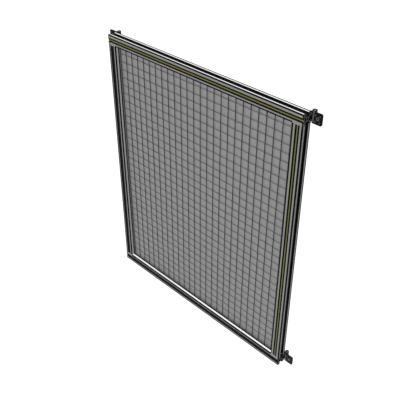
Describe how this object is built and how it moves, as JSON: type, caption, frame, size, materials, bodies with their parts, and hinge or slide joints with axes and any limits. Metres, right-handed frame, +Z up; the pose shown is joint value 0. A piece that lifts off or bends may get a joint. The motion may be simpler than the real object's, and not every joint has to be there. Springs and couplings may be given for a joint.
{
  "type": "mesh fence panel",
  "caption": "Framed wire mesh fence panel of slotted aluminium extrusions with yellow cover strips, backed mesh infill and corner hinges for bolting to posts.",
  "frame": {"origin": "on the mounting face of the lower right hinge's free leaf, on the vertical line through its screw hole, level with the panel's bottom edge", "axes": "+X to the right and +Z up as seen from the front, +Y to the back; the hinges' mounting faces look along -Y"},
  "size_m": [0.758, 0.0468, 0.835],
  "materials": {
    "profile": "natural anodised, fine lengthwise extrusion lines",
    "cover_strip": "satin yellow plastic",
    "seal": "matt black rubber",
    "wire": "dark powder coat",
    "sheet": "plain mill sheet, grey",
    "hinge_leaf": "dark grey powder-coated zinc casting",
    "pin_steel": "blackened steel",
    "screw_steel": "blackened steel",
    "nut_steel": "zinc plated"
  },
  "bodies": {
    "panel": {"top_rail": "profile", "bottom_rail": "profile", "left_stile": "profile", "right_stile": "profile", "top_strip": "cover_strip", "bottom_strip": "cover_strip", "left_strip": "cover_strip", "right_strip": "cover_strip", "top_gasket": "seal", "bottom_gasket": "seal", "left_gasket": "seal", "right_gasket": "seal", "mesh_left": "wire", "mesh_middle": "wire", "mesh_right": "wire", "infill_sheet": "sheet", "frame_leaf_lower_right": "hinge_leaf", "hinge_pin_lower_right": "pin_steel", "hinge_screw_lower_right": "screw_steel", "slot_nut_lower_right": "nut_steel", "frame_leaf_upper_right": "hinge_leaf", "hinge_pin_upper_right": "pin_steel", "hinge_screw_upper_right": "screw_steel", "slot_nut_upper_right": "nut_steel", "frame_leaf_lower_left": "hinge_leaf", "hinge_pin_lower_left": "pin_steel", "hinge_screw_lower_left": "screw_steel", "slot_nut_lower_left": "nut_steel", "frame_leaf_upper_left": "hinge_leaf", "hinge_pin_upper_left": "pin_steel", "hinge_screw_upper_left": "screw_steel", "slot_nut_upper_left": "nut_steel"},
    "free_leaf_lower_right": {"post_leaf_lower_right": "hinge_leaf"},
    "free_leaf_upper_right": {"post_leaf_upper_right": "hinge_leaf"},
    "free_leaf_lower_left": {"post_leaf_lower_left": "hinge_leaf"},
    "free_leaf_upper_left": {"post_leaf_upper_left": "hinge_leaf"}
  },
  "joints": [
    {"name": "hinge_lower_right", "type": "hinge", "parent": "panel", "child": "free_leaf_lower_right", "pos_m": [-0.0166, 0.0108, 0.015], "axis": [0, 0, 1], "range_deg": [0, 180]},
    {"name": "hinge_upper_right", "type": "hinge", "parent": "panel", "child": "free_leaf_upper_right", "pos_m": [-0.0166, 0.0108, 0.82], "axis": [0, 0, 1], "range_deg": [0, 180]},
    {"name": "hinge_lower_left", "type": "hinge", "parent": "panel", "child": "free_leaf_lower_left", "pos_m": [-0.7174, 0.0108, 0.015], "axis": [0, 0, -1], "range_deg": [0, 180]},
    {"name": "hinge_upper_left", "type": "hinge", "parent": "panel", "child": "free_leaf_upper_left", "pos_m": [-0.7174, 0.0108, 0.82], "axis": [0, 0, -1], "range_deg": [0, 180]}
  ]
}
